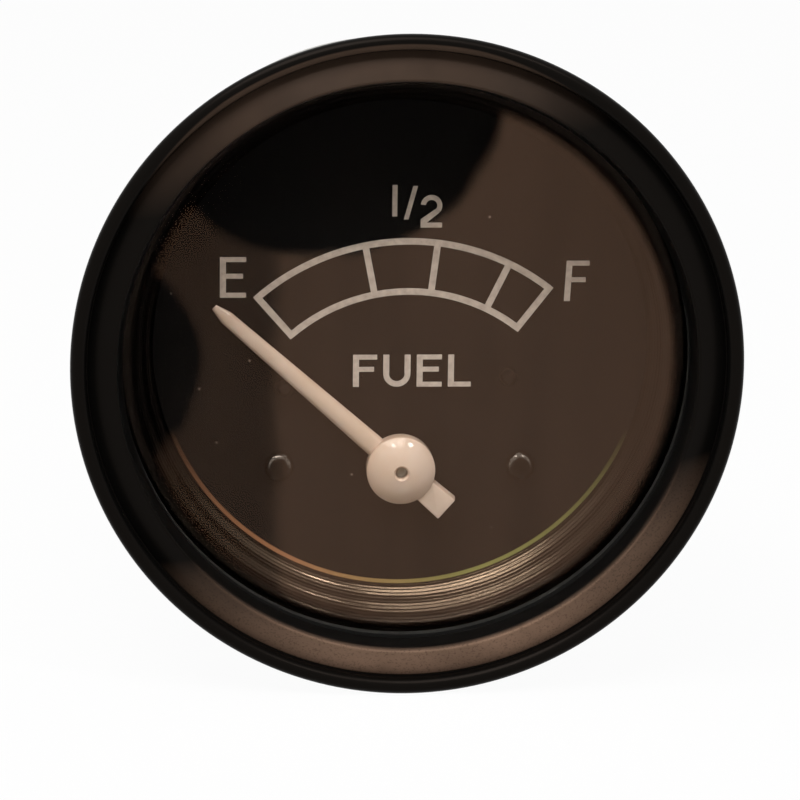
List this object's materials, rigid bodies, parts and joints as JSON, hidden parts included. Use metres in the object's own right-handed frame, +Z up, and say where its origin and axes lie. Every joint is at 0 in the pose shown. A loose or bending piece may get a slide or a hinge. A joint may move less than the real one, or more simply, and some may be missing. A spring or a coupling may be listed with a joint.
{
  "type": "panel fuel gauge",
  "caption": "Round panel fuel gauge with a black rolled bezel, glass window, printed scale, ivory pointer, drawn case, terminals and U clamp.",
  "frame": {"origin": "On the axis of the case, in the plane where the bezel's rear face sits on the panel.", "axes": "-Y is the way the face looks, +Y runs back along the case to the terminals, +Z is up on the dial and +X is to the reader's right."},
  "size_m": [0.0602, 0.0546, 0.0602],
  "materials": {
    "bezel_paint": "black enamel over rolled sheet, worn gloss",
    "glass": "clear flat glass",
    "rubber": "matte",
    "ring_lacquer": "dark lacquered drawn sheet, satin",
    "zinc_plate": "dull zinc plating",
    "dial_black": "matte black",
    "print_ivory": "matte printed ink",
    "black_oxide": "blackened steel, gloss",
    "brass": "dull brass",
    "pointer_ivory": "aged ivory resin, satin",
    "bright_steel": "bright steel",
    "magnet": "sintered magnet, matte",
    "bronze": "sintered bronze",
    "soft_iron": "annealed iron",
    "bobbin_resin": "moulded resin",
    "copper_wire": "enamelled copper wire",
    "red_fibre": "vulcanised fibre",
    "tinned_brass": "tinned",
    "lead_sleeve": "sleeved wire",
    "nickel_plate": "dull nickel plating"
  },
  "bodies": {
    "gauge": {"bezel": "bezel_paint", "window_glass": "glass", "window_gasket": "rubber", "reflector_ring": "ring_lacquer", "case": "zinc_plate", "dial_plate": "dial_black", "scale_print": "print_ivory", "letter_print": "print_ivory", "dial_screws": "black_oxide", "dial_spacers": "brass", "front_bridge": "brass", "front_bearing": "bronze", "rear_bearing": "bronze", "dial_posts": "brass", "base_plate": "zinc_plate", "core_left": "soft_iron", "core_right": "soft_iron", "bobbin_left": "bobbin_resin", "bobbin_right": "bobbin_resin", "winding_left": "copper_wire", "winding_right": "copper_wire", "coil_bracket_left": "soft_iron", "coil_bracket_right": "soft_iron", "coil_bracket_screws": "brass", "movement_pillars": "zinc_plate", "movement_screws": "zinc_plate", "terminal_stud_left": "brass", "terminal_stud_right": "brass", "inner_insulators": "red_fibre", "outer_insulators": "red_fibre", "solder_tags": "tinned_brass", "coil_leads": "lead_sleeve", "terminal_base_nuts": "brass", "terminal_washers": "bright_steel", "terminal_nuts": "brass", "mounting_studs": "nickel_plate", "stud_base_nuts": "nickel_plate"},
    "needle": {"pointer": "pointer_ivory", "spindle": "bright_steel", "armature": "magnet", "armature_bush": "brass"},
    "clamp": {"clamp_bracket": "zinc_plate", "clamp_washers": "bright_steel", "clamp_nuts": "nickel_plate"}
  },
  "joints": [
    {"name": "pointer_sweep", "type": "hinge", "parent": "gauge", "child": "needle", "pos_m": [0, 0.0036, -0.0114], "axis": [0, 1, 0], "range_deg": [0, 91.7]},
    {"name": "clamp_slide", "type": "slide", "parent": "gauge", "child": "clamp", "axis": [0, 1, 0], "range_m": [-0.0036, 0.0045]}
  ]
}
